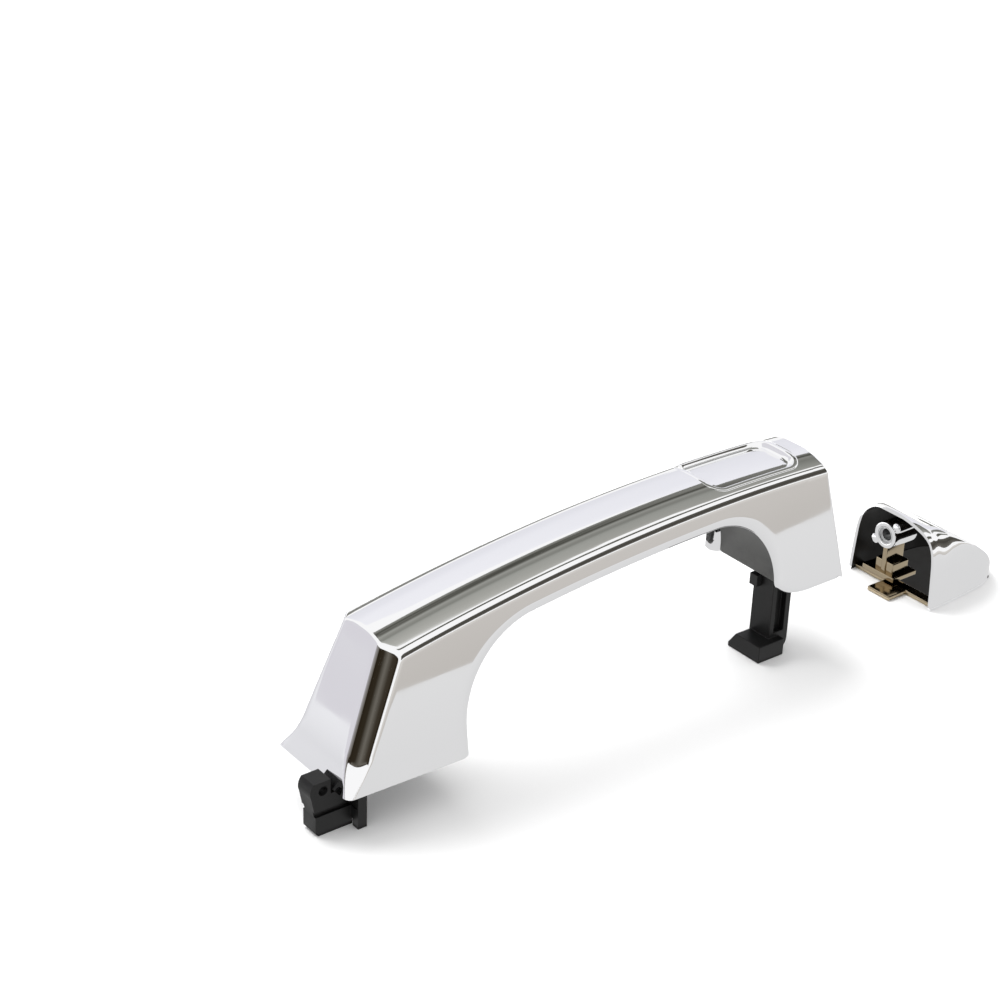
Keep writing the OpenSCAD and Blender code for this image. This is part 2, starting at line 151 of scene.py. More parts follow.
@dataclass(frozen=True)
class MouldedPlastic:
    """Moulded engineering plastic: an eroded-tool grain, cloudy tone and slightly polished high spots."""

    name: str
    colour: str
    light: str
    roughness: float
    grain_mm: float
    depth: float
    cloud_mm: float = 6.0
    gloss: float = 0.5

    def build(self) -> Any:
        """Builds the moulded plastic.

        Returns:
            The material.
        """
        material, tree, place = start_material(self.name)
        grain = add_node(tree, "ShaderNodeTexNoise", None,
                         {"Vector": place, "Scale": 1000 / self.grain_mm, "Detail": 3.0, "Roughness": 0.6})
        cloud = add_node(tree, "ShaderNodeTexNoise", None,
                         {"Vector": place, "Scale": 1000 / self.cloud_mm, "Detail": 4.0, "Roughness": 0.55})
        tone = add_node(tree, "ShaderNodeMapRange", None,
                        {"Value": cloud.outputs["Fac"], "From Min": 0.3, "From Max": 0.7})
        colour = add_node(tree, "ShaderNodeMix", {"data_type": "RGBA"},
                          {0: tone.outputs["Result"], 6: linear(self.colour), 7: linear(self.light)})
        rough = add_node(tree, "ShaderNodeMapRange", None,
                         {"Value": cloud.outputs["Fac"], "From Min": 0.3, "From Max": 0.7,
                          "To Min": self.roughness * 0.85, "To Max": self.roughness * 1.15})
        bump = add_node(tree, "ShaderNodeBump", None,
                        {"Strength": 0.35, "Distance": self.depth, "Height": grain.outputs["Fac"]})
        shader = add_node(tree, "ShaderNodeBsdfPrincipled", None,
                          {"Base Color": colour.outputs[2], "Roughness": rough.outputs["Result"],
                           "Specular IOR Level": self.gloss, "Normal": bump.outputs["Normal"]})
        end_material(tree, shader)
        return material


@dataclass(frozen=True)
class TurnedSteel:
    """Zinc plated steel: fine turning marks and a mottled bluish passivation."""

    name: str
    colour: str = "b9bbbd"
    light: str = "d6d7d8"
    mark_mm: float = 0.25

    def build(self) -> Any:
        """Builds the turned steel.

        Returns:
            The material.
        """
        material, tree, place = start_material(self.name)
        mottle = add_node(tree, "ShaderNodeTexNoise", None, {"Vector": place, "Scale": 700.0, "Detail": 4.0})
        colour = add_node(tree, "ShaderNodeMix", {"data_type": "RGBA"},
                          {0: mottle.outputs["Fac"], 6: linear(self.colour), 7: linear(self.light)})
        marks = add_node(tree, "ShaderNodeTexNoise", None,
                         {"Vector": place, "Scale": 1000 / self.mark_mm, "Detail": 1.0})
        bump = add_node(tree, "ShaderNodeBump", None,
                        {"Strength": 0.25, "Distance": 0.00002, "Height": marks.outputs["Fac"]})
        rough = add_node(tree, "ShaderNodeMapRange", None,
                         {"Value": mottle.outputs["Fac"], "To Min": 0.22, "To Max": 0.38})
        shader = add_node(tree, "ShaderNodeBsdfPrincipled", None,
                          {"Base Color": colour.outputs[2], "Metallic": 1.0,
                           "Roughness": rough.outputs["Result"], "Normal": bump.outputs["Normal"]})
        end_material(tree, shader)
        return material


def add_object(name: str, data: Any) -> Any:
    """Makes an object from its data and links it to the scene."""
    item = bpy.data.objects.new(name, data)
    bpy.context.scene.collection.objects.link(item)
    return item


def shade(mesh: Any, sharp_deg: float) -> None:
    """Shades a mesh smooth, but for edges that bend by more than an angle in degrees."""
    mesh.polygons.foreach_set("use_smooth", np.ones(len(mesh.polygons), dtype=bool))
    mesh.set_sharp_from_angle(angle=math.radians(sharp_deg))


def level_square(name: str, half: float, z: float, finish: Any) -> Any:
    """A level square of one face about the Z axis, with its finish."""
    mesh = bpy.data.meshes.new(name)
    mesh.from_pydata([(-half, -half, z), (half, -half, z), (half, half, z), (-half, half, z)], [],
                     [(0, 1, 2, 3)])
    mesh.materials.append(finish)
    return add_object(name, mesh)


def placed(x: Sequence[float], y: Sequence[float], z: Sequence[float], at: Sequence[float]) -> Matrix:
    """World matrix of an object whose own axes lie along x, y and z and whose origin is at a place."""
    return Matrix([[x[i], y[i], z[i], at[i]] for i in range(3)] + [[0, 0, 0, 1]])


def arc_points(x: float, z: float, radius: float, turns: Array) -> Array:
    """Points of an arc in the side view, at the given turns about its middle in radians."""
    return np.c_[x + radius * np.cos(turns), z + radius * np.sin(turns)]


def inward_of(line: Array) -> Array:
    """Unit directions square to a side-view line, to the left of the way it runs."""
    tangent = np.gradient(line, axis=0)
    tangent /= np.linalg.norm(tangent, axis=1, keepdims=True)
    return np.c_[-tangent[:, 1], tangent[:, 0]]


def mesh_piece(name: str, points: Array, faces: list[list[int]], sharp_deg: float = 38.0) -> Any:
    """Makes a smooth shaded object from points in millimetres.

    Args:
        name: name of the piece.
        points: array of n by 3 in millimetres.
        faces: corner numbers of each face, counter-clockwise seen from outside.
        sharp_deg: edges that bend by more than this stay sharp.

    Returns:
        The object, at the origin.
    """
    mesh = bpy.data.meshes.new(name)
    mesh.from_pydata((np.asarray(points, dtype=float) * MM).tolist(), [], faces)
    mesh.validate()
    shade(mesh, sharp_deg)
    mesh.update()
    return add_object(name, mesh)


def grid_faces(rows: int, cols: int, start: int = 0, wrap_cols: bool = False, flip: bool = False) -> Array:
    """Quads of a grid of points stored row by row.

    Args:
        rows: number of rows.
        cols: number of points in a row.
        start: number of the first point.
        wrap_cols: the last column joins the first.
        flip: turns the faces over.

    Returns:
        Array of n by 4 point numbers.
    """
    i, j = np.meshgrid(np.arange(rows - 1), np.arange(cols if wrap_cols else cols - 1), indexing="ij")
    i2, j2 = i + 1, (j + 1) % cols
    quads = np.stack([i * cols + j, i2 * cols + j, i2 * cols + j2, i * cols + j2], axis=-1).reshape(-1, 4)
    return (quads[:, ::-1] if flip else quads) + start


def round_max(a: Array, b: Array, radius: float) -> Array:
    """Distance to the space inside both a and b, its edge rounded by a radius.

    Where both distances are above -r, the result is the length of the pair (a + r, b + r) less r.
    """
    deep = np.minimum(np.maximum(a, b), -radius)
    return deep + np.hypot(np.maximum(a + radius, 0), np.maximum(b + radius, 0))


def cast(form: Callable[[Array, Array, Array], Array], base: Array, way: Array, reach: float,
         level: float = 0.0) -> Array:
    """Carries points from inside a convex form outwards until its distance reaches a level, by halving.

    Args:
        form: signed distance of the form, negative inside.
        base: starting points, n by 3.
        way: directions, n by 3.
        reach: furthest step.
        level: distance to stop at, negative for an inner skin.

    Returns:
        The points found, n by 3.
    """
    way = way / np.linalg.norm(way, axis=-1, keepdims=True)
    low = np.zeros(way.shape[:-1])
    high = np.full(way.shape[:-1], reach)
    for _ in range(HALVINGS):
        mid = (low + high) / 2
        p = base + way * mid[..., None]
        outside = form(p[..., 0], p[..., 1], p[..., 2]) > level
        high = np.where(outside, mid, high)
        low = np.where(outside, low, mid)
    return base + way * ((low + high) / 2)[..., None]


@dataclass
class StrapForm:
    """Outer form of the strap: sizes in millimetres and its signed distance."""

    length: float = 197.3
    edge_height: float = 52.4
    peak_x: float = 157.9
    edge_radius: float = 672.0
    edge_half: float = 14.5
    draft: float = math.tan(math.radians(6.5))
    crown_half: float = 6.0
    crown_rise: float = 3.4
    front_lean: float = math.radians(22.3)
    rear_lean: float = math.radians(11.6)
    toe_x: float = 3.0
    front_seat: float = -0.4
    rear_seat: float = 11.2
    band_width: float = 5.0
    band_turn: float = math.atan(0.75)
    grip_depth: float = 9.5
    arch_front: float = 45.4
    arch_rear: float = 167.6
    arch_front_radius: float = 29.0
    arch_rear_radius: float = 25.0
    middle_y: float = 7.2
    side_fillet: float = 1.9
    crown_fillet: float = 1.0
    crown_bow: float = 0.12
    facet_bow: float = 0.14
    band_bow: float = 0.12
    flare: float = 0.22
    front_flare: float = 0.12
    flare_power: float = 1.7
    flare_height: float = 7.0
    flare_end_x: float = 100.0
    tip_above: float = 1.0
    tip_arch: float = 2.2
    tip_flare: float = 2.3
    tip_power: float = 1.3
    band_fillet: float = 0.6
    front_fillet: float = 0.7
    rear_fillet: float = 0.9
    curl_length: float = 14.7
    heel_length: float = 2.6

    @property
    def arc_z(self) -> float:
        """Height of the centre of the long arc."""
        return self.edge_height - self.edge_radius

    def rho(self, x: Array, z: Array) -> Array:
        """Distance from the centre of the long arc in the side view."""
        return np.hypot(x - self.peak_x, z - self.arc_z)

    def half(self, x: Array, z: Array) -> Array:
        """Half width of the drafted sides: edge half width plus draft times depth below the edge arc."""
        return self.edge_half + self.draft * (self.edge_radius - self.rho(x, z))

    def distance(self, x: Array, y: Array, z: Array) -> Array:
        """Signed distance of the rounded form, y from the middle plane.

        The crown, the two long facets, the drafted sides, the leaning ends and the two slanted corner bands
        are half spaces, joined by rounded intersections. Near the front seat the sides and bands flare out.
        """
        side_y = np.abs(y)
        rho = self.rho(x, z)
        low = np.clip((self.flare_height - (z - self.front_seat)) / self.flare_height, 0, 1)
        low = np.where(x < self.flare_end_x, low, 0.0)
        crown = rho - (self.edge_radius + self.crown_rise) + self.crown_bow * (side_y / self.crown_half) ** 2
        run = self.edge_half - self.crown_half
        slope = math.hypot(run, self.crown_rise)
        across = np.clip((side_y - self.crown_half) / run, 0, 1)
        above = rho - self.edge_radius - self.crown_rise
        facet = above * run + (side_y - self.crown_half) * self.crown_rise
        facet = facet / slope + self.facet_bow * (4 * (across - 0.5) ** 2)
        top = round_max(crown, facet, self.crown_fillet)
        side = (side_y - self.half(x, z) - self.flare * low ** self.flare_power)
        side = side * math.cos(math.atan(self.draft))
        body = round_max(top, side, self.side_fillet)
        rise = z - self.front_seat
        front = -(x - self.toe_x) * math.cos(self.front_lean) + rise * math.sin(self.front_lean)
        front = front - self.front_flare * low ** self.flare_power
        front_half = self.half(self.toe_x, self.front_seat) - self.band_width
        corner = side_y - (front_half - self.draft * rise)
        band = front * math.cos(self.band_turn) + corner * math.sin(self.band_turn)
        t = np.clip(corner / self.band_width, -0.3, 1.3) * 2 - 1
        start = self.flare_height + self.tip_above + self.tip_arch * t * t
        tip = np.clip((start - rise) / start, 0, 1)
        band = band - self.tip_flare * tip ** self.tip_power + self.band_bow * np.clip(t, -1, 1) ** 2
        front_end = round_max(front, band, self.band_fillet)
        rear = (x - self.length) * math.cos(self.rear_lean) + (z - self.rear_seat) * math.sin(self.rear_lean)
        return round_max(round_max(body, front_end, self.front_fillet), rear, self.rear_fillet)

    def place(self, points: Array) -> Array:
        """Moves points from the strap's middle plane to where it lies."""
        return points + np.array([0, self.middle_y, 0])

    def under_corner(self, x: float, radius: float) -> tuple[float, float]:
        """Middle of an arch corner and the turn of the line from the arc's centre through it.

        Args:
            x: place of the corner's middle along the strap.
            radius: radius of the corner.

        Returns:
            Height of the middle and the angle in radians.
        """
        reach = self.edge_radius - self.grip_depth - radius
        z = self.arc_z + math.sqrt(reach ** 2 - (x - self.peak_x) ** 2)
        return z, math.atan2(z - self.arc_z, x - self.peak_x)

    def rim_line(self, marks: Sequence[int]) -> Array:
        """Side view of the arch rim from the front seat to the rear seat.

        A straight rise, a corner arc, the long underside arc, a second corner arc, a quarter ellipse under
        the rear foot and its level edge.

        Args:
            marks: number of points of the front part, the underside and the rear part.

        Returns:
            Array of n by 2, evenly spaced within each of the three parts.
        """
        fx = self.arch_front + self.arch_front_radius
        fz, fa = self.under_corner(fx, self.arch_front_radius)
        rx = self.arch_rear - self.arch_rear_radius
        rz, ra = self.under_corner(rx, self.arch_rear_radius)
        split_f, split_r = math.radians(128), math.radians(48)
        front_r, rear_r = self.arch_front_radius, self.arch_rear_radius
        under = self.edge_radius - self.grip_depth
        front = np.vstack([[self.arch_front, self.front_seat],
                           arc_points(fx, fz, front_r, np.linspace(math.pi, split_f, 60))])
        middle = np.vstack([arc_points(fx, fz, front_r, np.linspace(split_f, fa, 30)),
                            arc_points(self.peak_x, self.arc_z, under, np.linspace(fa, ra, 200))[1:],
                            arc_points(rx, rz, rear_r, np.linspace(ra, split_r, 40))[1:]])
        turn = np.linspace(0, math.pi / 2, 40)
        drop = rz - self.rear_seat
        curl = np.c_[self.arch_rear + self.curl_length * (1 - np.cos(turn)),
                     self.rear_seat + drop * (1 - np.sin(turn))]
        rear = np.vstack([arc_points(rx, rz, rear_r, np.linspace(split_r, 0, 40)), curl[1:],
                          [[self.length - self.heel_length, self.rear_seat]]])
        return np.vstack([resample(part, count) for part, count in zip((front, middle, rear), marks)])

    def outline(self, marks: Sequence[Array]) -> Array:
        """Side view of the outer outline: front face, crown arc and rear face.

        Args:
            marks: for each of the three parts, places from 0 to 1 along it.

        Returns:
            Array of n by 2.
        """
        crown = self.edge_radius + self.crown_rise
        top_f = self.meet(crown, self.toe_x, self.front_seat, math.tan(self.front_lean))
        top_r = self.meet(crown, self.length, self.rear_seat, -math.tan(self.rear_lean))
        low_f = np.array([self.toe_x, self.front_seat])
        low_r = np.array([self.length, self.rear_seat + 0.2])
        a0 = math.atan2(top_f[1] - self.arc_z, top_f[0] - self.peak_x)
        a1 = math.atan2(top_r[1] - self.arc_z, top_r[0] - self.peak_x)
        front = low_f + (top_f - low_f) * marks[0][:, None]
        turn = a0 + (a1 - a0) * marks[1]
        arc = arc_points(self.peak_x, self.arc_z, crown, turn)
        rear = top_r + (low_r - top_r) * marks[2][:, None]
        return np.vstack([front, arc, rear])

    def meet(self, radius: float, x0: float, z0: float, run: float) -> Array:
        """Where a line that leans by run per height meets an arc of the given radius."""
        zs = np.linspace(z0, z0 + 80, 8001)
        gap = np.hypot(x0 + run * (zs - z0) - self.peak_x, zs - self.arc_z) - radius
        z = zs[np.argmax(gap > 0)]
        return np.array([x0 + run * (z - z0), z])


def resample(line: Array, count: int) -> Array:
    """Spreads a number of points evenly along a polyline.

    Args:
        line: array of n by 2.
        count: number of points wanted.

    Returns:
        Array of count by 2.
    """
    step = np.r_[0, np.cumsum(np.hypot(*np.diff(line, axis=0).T))]
    at = np.linspace(0, step[-1], count)
    return np.c_[np.interp(at, step, line[:, 0]), np.interp(at, step, line[:, 1])]


def eased(count: int, both: bool = True) -> Array:
    """Places from 0 to 1, packed closer at both ends, or at the far end alone, by a cosine law."""
    t = np.linspace(0, 1, count)
    packed = (1 - np.cos(math.pi * t)) / 2 if both else np.sin(math.pi / 2 * t)
    return 0.25 * t + 0.75 * packed


@dataclass
class StrapShell:
    """Chromed outer shell of the strap: a closed skin with rolled arch rims, and the recess tray."""

    form: StrapForm
    wall: float = 2.2
    rim_reach: float = 3.6
    rim_reach_rear: float = 1.6
    rim_fall: float = 1.7
    rim_crease: float = 0.16
    recess_length: float = 36.0
    recess_half: float = 10.0
    recess_back: float = 17.2
    recess_depth: float = 2.0
    recess_radius: float = 4.5
    cut_above: float = 44.0
    cut_margin: float = -0.1
    rim_blend_start: float = 12.0
    rim_blend: float = 14.0
    ray: float = 90.0
    rows: tuple[int, int, int] = (84, 190, 70)
    cols: tuple[int, int, int] = (24, 14, 10)

    def stations(self) -> tuple[Array, Array, Array]:
        """Rim points, outline points and the kind of each station (0 front, 1 top, 2 rear)."""
        a, b, c = self.rows
        marks = [eased(a), eased(b + 1)[1:], eased(c + 1)[1:]]
        counts = (400, 1200, 500)
        rim = []
        for mark, part in zip(marks, np.split(self.form.rim_line(counts), np.cumsum(counts)[:-1])):
            at = np.linspace(0, 1, len(part))
            rim.append(np.c_[np.interp(mark, at, part[:, 0]), np.interp(mark, at, part[:, 1])])
        kind = np.r_[np.zeros(a), np.ones(b), np.full(c, 2.0)]
        return np.vstack(rim), self.form.outline(marks), kind

    def skins(self) -> tuple[Array, Array]:
        """Outer and inner skin as grids of stations by places round the section.

        At each station rays leave a point on the mid-plane just inside the rim, in the plane through the
        outline point, and run to the rounded form; the inner skin stops one wall thickness short.

        Returns:
            Outer grid with rolled rims, and inner grid, each rows by columns by 3.
        """
        rim, outer, kind = self.stations()
        f = self.form
        inward = inward_of(rim)
        late = np.clip((rim[:, 0] - f.arch_rear + self.rim_blend_start) / self.rim_blend, 0, 1) * (kind > 0)
        reach = self.rim_reach + (self.rim_reach_rear - self.rim_reach) * late * late * (3 - 2 * late)
        base = rim + inward * reach[:, None]
        way = outer - base
        depth = np.linalg.norm(way, axis=1)
        way /= depth[:, None]
        wide = f.half(base[:, 0], base[:, 1])
        edge_wide = f.half(outer[:, 0], outer[:, 1])
        top_pair = np.stack([depth - f.crown_rise * 1.1, np.full_like(depth, f.edge_half), depth,
                             np.full_like(depth, f.crown_half)], axis=1)
        low = outer[:, 1] - f.front_seat
        front_half = f.half(f.toe_x, f.front_seat) - f.band_width - f.draft * low
        front_pair = np.stack([depth - 3.9, edge_wide, depth, front_half], axis=1)
        rear_pair = np.stack([depth, edge_wide, depth, edge_wide * 0.6], axis=1)
        soft = np.array([0.25, 0.5, 0.25])
        weights = np.stack([kind == 0, kind == 1, kind == 2], axis=1).astype(float)
        for _ in range(4):
            padded = np.vstack([weights[:1], weights, weights[-1:]])
            weights = padded[:-2] * soft[0] + padded[1:-1] * soft[1] + padded[2:] * soft[2]
        pair = front_pair * weights[:, :1] + top_pair * weights[:, 1:2] + rear_pair * weights[:, 2:]
        n1, n2, n3 = self.cols
        t1 = eased(n1 + 1, both=False)[:-1]
        t2 = eased(n2 + 1)[:-1]
        t3 = eased(n3 + 1)
        a = np.hstack([pair[:, :1] * t1, pair[:, :1] + (pair[:, 2:3] - pair[:, :1]) * t2,
                       np.repeat(pair[:, 2:3], len(t3), axis=1)])
        b = np.hstack([wide[:, None] + (pair[:, 1:2] - wide[:, None]) * t1,
                       pair[:, 1:2] + (pair[:, 3:4] - pair[:, 1:2]) * t2, pair[:, 3:4] * (1 - t3)])
        along = np.hstack([a, a[:, -2::-1]])
        across = np.hstack([-b, b[:, -2::-1]])
        ways = np.stack([along * way[:, :1], across, along * way[:, 1:]], axis=-1)
        starts = np.stack([base[:, 0], np.zeros_like(depth), base[:, 1]], axis=-1)
        bases = np.broadcast_to(starts[:, None, :], ways.shape)
        skin = cast(f.distance, bases, ways, self.ray)
        inner = cast(f.distance, bases, ways, self.ray, -self.wall)
        turn = np.radians([5, 15, 25, 35, 45, 55, 65, 74, 82, 90])
        sides = []
        for column, sign in ((0, -1.0), (-1, 1.0)):
            y = np.abs(skin[:, column, 1])
            fall = self.rim_fall * (1 - np.cos(turn)) + self.rim_crease * np.sin(turn)
            roll_y = np.hstack([y[:, None] - fall, (y - self.wall)[:, None]])
            drop = reach[:, None] * np.r_[np.sin(turn), 1.0]
            roll = base[:, None, :] - inward[:, None, :] * drop[:, :, None]
            sides.append(np.stack([roll[..., 0], sign * roll_y, roll[..., 1]], axis=-1))
        return np.concatenate([sides[0][:, ::-1], skin, sides[1]], axis=1), inner

    def build(self) -> list[Any]:
        """Builds the skin and the tray.

        Returns:
            The two pieces.
        """
        outer, inner = self.skins()
        rows, cols = outer.shape[:2]
        inner_cols = inner.shape[1]
        loop = np.concatenate([outer, inner[:, ::-1]], axis=1)
        total = cols + inner_cols
        points = loop.reshape(-1, 3)
        faces = grid_faces(rows, total, wrap_cols=True, flip=True)
        cut = self.in_recess(points[:, 0], points[:, 1], self.cut_margin) & (points[:, 2] > self.cut_above)
        inside = cut[faces].any(axis=1)
        quads = faces[~inside].tolist()
        pad = (cols - inner_cols) // 2
        partner = np.clip(np.arange(cols) - pad, 0, inner_cols - 1)
        partner = cols + inner_cols - 1 - partner
        for row, turned in ((0, False), (rows - 1, True)):
            shift = row * total
            for j in range(cols - 1):
                ring = [shift + j, shift + j + 1, shift + int(partner[j + 1])]
                if partner[j] != partner[j + 1]:
                    ring.append(shift + int(partner[j]))
                quads.append(ring[::-1] if turned else ring)
        skin = mesh_piece("strap_skin", self.form.place(points), quads, 32)
        return [skin, self.tray()]

    def corner_box(self) -> tuple[float, float, float, float]:
        """Start, end, half width and corner radius of the recess outline."""
        end = self.form.length - self.recess_back
        return end - self.recess_length, end, self.recess_half, self.recess_radius

    def in_recess(self, x: Array, y: Array, grow: float) -> Array:
        """Tells whether points lie inside the recess outline grown by an allowance."""
        x0, x1, half, r = self.corner_box()
        dx = np.abs(x - (x0 + x1) / 2) - ((x1 - x0) / 2 - r)
        dy = np.abs(y) - (half - r)
        out = np.hypot(np.maximum(dx, 0), np.maximum(dy, 0)) + np.minimum(np.maximum(dx, dy), 0) - r
        return out < grow

    def tray(self) -> Any:
        """Recess tray: rounded rectangles, one inside the other, sinking from the skin to the recess floor.

        Each ring is the outline offset by a distance in millimetres. Its height is the skin's height less a
        share of the recess depth, and a negative share lifts it above the skin by as many millimetres.
        """
        x0, x1, half, r = self.corner_box()
        count, between = 40, 24
        quarter = np.linspace(0, math.pi / 2, count)
        steps = np.linspace(0, 1, between + 2)[1:-1]
        centres = [(x1 - r, half - r, 0.0), (x0 + r, half - r, 0.5), (x0 + r, r - half, 1.0),
                   (x1 - r, r - half, 1.5)]
        parts = []
        for k, (cx, cy, turn) in enumerate(centres):
            a = quarter + turn * math.pi
            parts.append(np.c_[np.full(count, cx), np.full(count, cy), np.cos(a), np.sin(a)])
            nx, ny, _ = centres[(k + 1) % 4]
            parts.append(np.c_[cx + (nx - cx) * steps, cy + (ny - cy) * steps,
                               np.full(between, math.cos(a[-1])), np.full(between, math.sin(a[-1]))])
        path = np.vstack(parts)
        rings = [(1.7, 0.12), (1.45, -0.06), (0.9, -0.1), (0.35, -0.1), (0.1, -0.06), (-0.05, 0.03),
                 (-0.2, 0.12), (-0.35, 0.26), (-0.85, 0.72), (-1.05, 0.85), (-1.3, 0.94), (-1.65, 0.985),
                 (-2.1, 1.0), (-3.2, 1.0), (-4.42, 1.0)]
        grids = []
        for grow, tau in rings:
            x = path[:, 0] + path[:, 2] * (r + grow)
            y = path[:, 1] + path[:, 3] * (r + grow)
            grids.append(self.tray_ring(x, y, tau))
        spine_x = np.clip(grids[-1][:, 0], x0 + half, x1 - half)
        for share in (0.5, 1.0):
            x = grids[-1][:, 0] * (1 - share) + spine_x * share
            y = grids[-1][:, 1] * (1 - share)
            grids.append(self.tray_ring(x, y, 1.0))
        points = self.form.place(np.stack(grids).reshape(-1, 3))
        faces = grid_faces(len(grids), len(path), wrap_cols=True).tolist()
        return mesh_piece("recess_tray", points, faces, 60)

    def tray_ring(self, x: Array, y: Array, tau: float) -> Array:
        """Points at the given plan places, at the skin's height blended to the recess floor by tau."""
        f = self.form
        base = np.stack([x, y, np.full_like(x, 38.0)], axis=-1)
        up = np.broadcast_to(np.array([0.0, 0.0, 1.0]), base.shape)
        skin = cast(f.distance, base, up, 30.0)[:, 2]
        floor = skin - self.recess_depth
        share = max(tau, 0.0)
        lift = -min(tau, 0.0)
        return np.stack([x, y, skin * (1 - share) + floor * share + lift], axis=-1)


@dataclass
class GripLiner:
    """Satin liner of the grip: a strip carried round the inside of the arch."""

    form: StrapForm
    inset: float = 0.9
    rear_inset: float = 4.6
    thickness: float = 1.6

    def build(self) -> Any:
        """Sweeps the liner's flat section, with rounded long edges, along the arch line.

        Returns:
            The piece.
        """
        f = self.form
        near = StrapForm(arch_front=f.arch_front - self.inset, arch_front_radius=f.arch_front_radius,
                         arch_rear=f.arch_rear + self.rear_inset, grip_depth=f.grip_depth - self.inset,
                         arch_rear_radius=f.arch_rear_radius + self.rear_inset - self.inset)
        line = near.rim_line((90, 200, 160))
        stop = np.argmax((line[:, 0] > 150) & (line[:, 1] < f.rear_seat + 2.2))
        line = line[:stop]
        line[0, 1] = f.front_seat + 1.2
        inward = inward_of(line)
        half = f.half(line[:, 0], line[:, 1]) - 2.4
        half = np.minimum(half, 12.6 + np.maximum(44 - line[:, 1], 0) * 0.05)
        spots = [(-1, 1.0), (-1, 0.3), (-0.985, 0.08), (-0.96, 0.0)]
        spots += [(t, 0.0) for t in np.linspace(-0.9, 0.9, 13)]
        spots += [(0.96, 0.0), (0.985, 0.08), (1, 0.3), (1, 1.0)]
        rows = [np.stack([line[:, 0] + inward[:, 0] * d * self.thickness, t * half,
                          line[:, 1] + inward[:, 1] * d * self.thickness], axis=-1) for t, d in spots]
        grid = np.stack(rows, axis=1)
        n, m = grid.shape[:2]
        points = f.place(grid.reshape(-1, 3))
        faces = grid_faces(n, m, wrap_cols=True, flip=True).tolist()
        faces.append(list(range(m)))
        faces.append([(n - 1) * m + k for k in range(m)][::-1])
        return mesh_piece("grip_liner_skin", points, faces, 50)


@dataclass
class SoftenedCopy:
    """A merged copy of a CAD node with its edges softened, as a mould leaves them."""

    node: str
    name: str
    radius_mm: float
    limit_deg: float = 32.0

    def build(self) -> Any:
        """Copies, merges and bevels the node.

        Returns:
            The piece.
        """
        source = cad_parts[self.node]
        mesh = source.data.copy()
        mesh.name = self.name
        mesh.transform(source.matrix_world)
        piece = add_object(self.name, mesh)
        work = bmesh.new()
        work.from_mesh(mesh)
        bmesh.ops.remove_doubles(work, verts=work.verts, dist=2e-6)
        bmesh.ops.dissolve_limit(work, angle_limit=math.radians(1.0), verts=work.verts, edges=work.edges)
        work.to_mesh(mesh)
        work.free()
        shade(mesh, self.limit_deg)
        bevel = piece.modifiers.new("mould_radius", "BEVEL")
        bevel.width = self.radius_mm * MM
        bevel.segments = 2
        bevel.limit_method = "ANGLE"
        bevel.angle_limit = math.radians(self.limit_deg)
        bevel.harden_normals = True
        bevel.use_clamp_overlap = True
        return piece


@dataclass
class CapForm:
    """Outer form of the end cap: sizes in millimetres, x from the rim and height from the base."""

    x: float = 241.3
    y: float = 5.7
    floor: float = -14.8
    length: float = 42.5
    half: float = 20.0
    tail_half: float = 13.0
    height: float = 30.2
    power: float = 1.2
    fall: float = 0.8
    knee: float = 34.8
    groove_depth: float = 0.6

    def distance(self, x: Array, y: Array, h: Array) -> Array:
        """Signed distance of the rounded cap.

        The roof is the level set (x/L)^p + (h/H)^(1/f) = 1, divided by its slope to make it a distance.
        Each side and its shoulder follow a line of points in the end view. They, the taper and the tail
        corners are half spaces, joined by rounded intersections. A shallow groove crosses the near shoulder.
        """
        u = np.clip(x, 0.001, None) / self.length
        w = np.clip(h, 0.001, None) / self.height
        value = u ** self.power + w ** (1 / self.fall) - 1
        gx = self.power * u ** (self.power - 1) / self.length
        gh = (1 / self.fall) * w ** (1 / self.fall - 1) / self.height
        roof = value / np.hypot(gx, gh)
        far_line = [(20.0, 0.0), (19.6, 14.8), (18.3, 23.6), (15.9, 27.4), (10.6, 30.2)]
        near_line = [(20.0, 0.0), (19.8, 18.0), (19.2, 22.5), (17.2, 25.9), (11.5, 29.2), (2.5, 30.2)]
        side_y = np.abs(y)
        knee_half = self.half * 0.42 + self.tail_half * 0.58 + 0.6
        taper = self.plane(side_y, x, (self.half, 3.0), (knee_half, self.knee))
        turned = self.plane(side_y, x, (knee_half, self.knee), (self.tail_half - 5.5, self.length))
        form = np.full(np.broadcast(y, h).shape, -60.0)
        for line, across in ((far_line, y), (near_line, -y)):
            for start, stop in zip(line, line[1:]):
                form = round_max(form, self.plane(across, h, start, stop), 5.0)
        form = round_max(form, taper, 2.0)
        form = round_max(form, turned, 5.0)
        form = round_max(form, x - self.length, 4.0)
        form = round_max(form, roof, 1.6)
        groove = 0.5 + 0.5 * np.cos(math.pi * np.clip((x - 5.4) / 4.4, -1, 1))
        start = np.clip((5 - y) / 12, 0, 1)
        stop = np.clip((h - 16) / 8, 0, 1)
        sunk = self.groove_depth * groove * start ** 2 * (3 - 2 * start) * stop ** 2 * (3 - 2 * stop)
        return form + sunk

    @staticmethod
    def plane(a: Array, b: Array, start: tuple[float, float], end: tuple[float, float]) -> Array:
        """Distance outside the line from start to end, whose outside is on the right hand of that way."""
        da, db = end[0] - start[0], end[1] - start[1]
        size = math.hypot(da, db)
        return ((a - start[0]) * db - (b - start[1]) * da) / size


